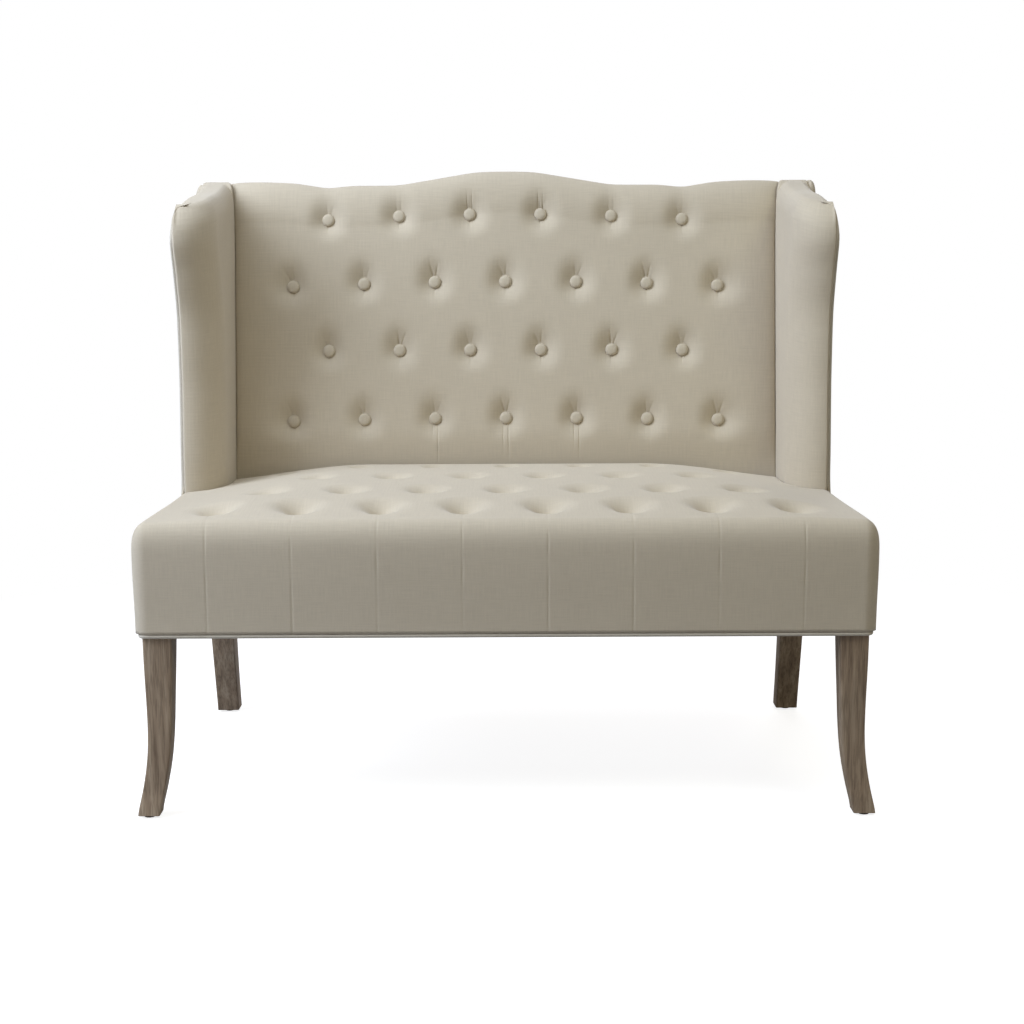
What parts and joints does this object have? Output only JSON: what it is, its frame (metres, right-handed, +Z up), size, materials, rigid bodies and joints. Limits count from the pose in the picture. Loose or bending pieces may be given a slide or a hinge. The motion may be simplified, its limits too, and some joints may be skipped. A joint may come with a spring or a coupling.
{
  "type": "high back settee",
  "caption": "High back settee with winged sides, button-tufted seat and back in woven linen, sewn welts and curved square wood legs",
  "frame": {"origin": "On the floor, under the middle of the settee's outside box", "axes": "+X along the seat to the right as seen from the front, +Y from the front to the back, +Z up"},
  "size_m": [1.22, 0.704, 1.0759],
  "materials": {
    "linen": "woven linen",
    "button_linen": "woven linen",
    "welt_linen": "woven linen",
    "oak": "weathered oak, matt",
    "pine": "sawn softwood",
    "steel": "zinc plated",
    "glide": "matt nylon",
    "foam": "open cell foam",
    "felt": "needled felt",
    "webbing": "woven webbing",
    "twine": "waxed twine",
    "cambric": "thin black cloth"
  },
  "bodies": {
    "root": {"front_leg_left": "oak", "front_leg_right": "oak", "rear_post_left": "oak", "rear_post_right": "oak", "front_rail": "pine", "rear_rail": "pine", "side_rail_left": "pine", "side_rail_right": "pine", "seat_cross_rail": "pine", "corner_block_front_left": "pine", "corner_block_front_right": "pine", "corner_block_rear_left": "pine", "corner_block_rear_right": "pine", "hanger_bolts": "steel", "bolt_washers": "steel", "bolt_nuts": "steel", "foot_glides": "glide", "seat_springs": "steel", "spring_clips": "steel", "spring_wires": "steel", "spring_pad": "felt", "seat_foam": "foam", "seat_pad": "linen", "seat_buttons": "button_linen", "seat_button_ties": "twine", "seat_welt": "welt_linen", "dust_cover": "cambric", "crest_rail": "pine", "back_lower_rail": "pine", "back_slats": "pine", "back_webbing_across": "webbing", "back_webbing_upright": "webbing", "back_foam": "foam", "back_pad": "linen", "back_buttons": "button_linen", "back_button_ties": "twine", "outside_back": "linen", "wing_board_left": "pine", "wing_board_right": "pine", "wing_pad_left": "linen", "wing_pad_right": "linen", "outside_wing_left": "linen", "outside_wing_right": "linen", "wing_welt_left": "welt_linen", "wing_welt_right": "welt_linen"}
  },
  "joints": []
}
